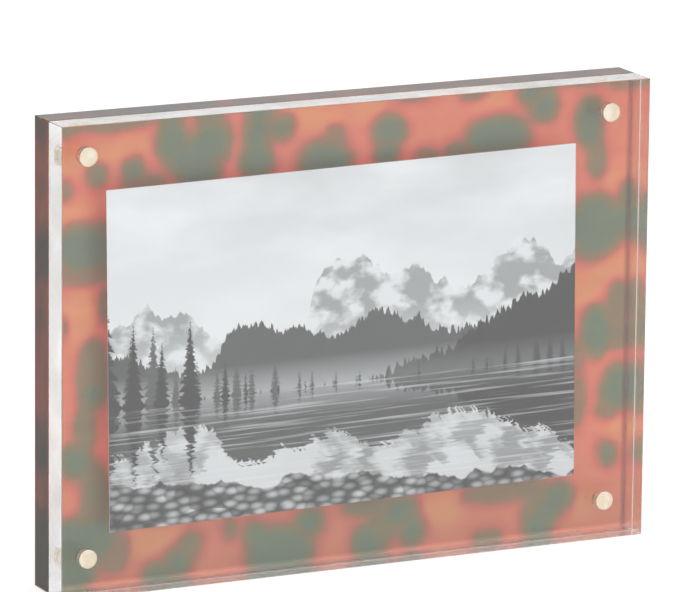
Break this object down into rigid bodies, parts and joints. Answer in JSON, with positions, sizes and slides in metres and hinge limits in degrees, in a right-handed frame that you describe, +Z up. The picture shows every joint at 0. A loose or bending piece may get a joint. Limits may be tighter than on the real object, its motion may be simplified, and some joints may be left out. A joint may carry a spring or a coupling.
{
  "type": "photo frame",
  "caption": "Free-standing acrylic block photo frame: clear blocks held by corner magnets clamp a print, with a tortoiseshell film bonded behind.",
  "frame": {"origin": "middle of the base, on the surface that the frame stands on", "axes": "+X to the right seen from the front, +Y from the front face to the back, +Z up"},
  "size_m": [0.1906, 0.0196, 0.1397],
  "materials": {
    "front_acrylic": "polished",
    "rear_acrylic": "polished",
    "tortoiseshell": "gloss",
    "photo_paper": "gloss",
    "magnet_metal": "satin"
  },
  "bodies": {
    "rear": {"rear_block": "rear_acrylic", "tortoise_film": "tortoiseshell", "rear_magnet_top_left": "magnet_metal", "rear_magnet_top_right": "magnet_metal", "rear_magnet_bottom_left": "magnet_metal", "rear_magnet_bottom_right": "magnet_metal"},
    "front": {"front_block": "front_acrylic", "front_magnet_top_left": "magnet_metal", "front_magnet_top_right": "magnet_metal", "front_magnet_bottom_left": "magnet_metal", "front_magnet_bottom_right": "magnet_metal"},
    "photo": {"photo_print": "photo_paper"}
  },
  "joints": [
    {"name": "front_pull", "type": "slide", "parent": "rear", "child": "front", "axis": [0, -1, 0], "range_m": [0, 0.04]},
    {"name": "photo_lift", "type": "slide", "parent": "rear", "child": "photo", "axis": [0, 0, 1], "range_m": [0, 0.125]}
  ]
}
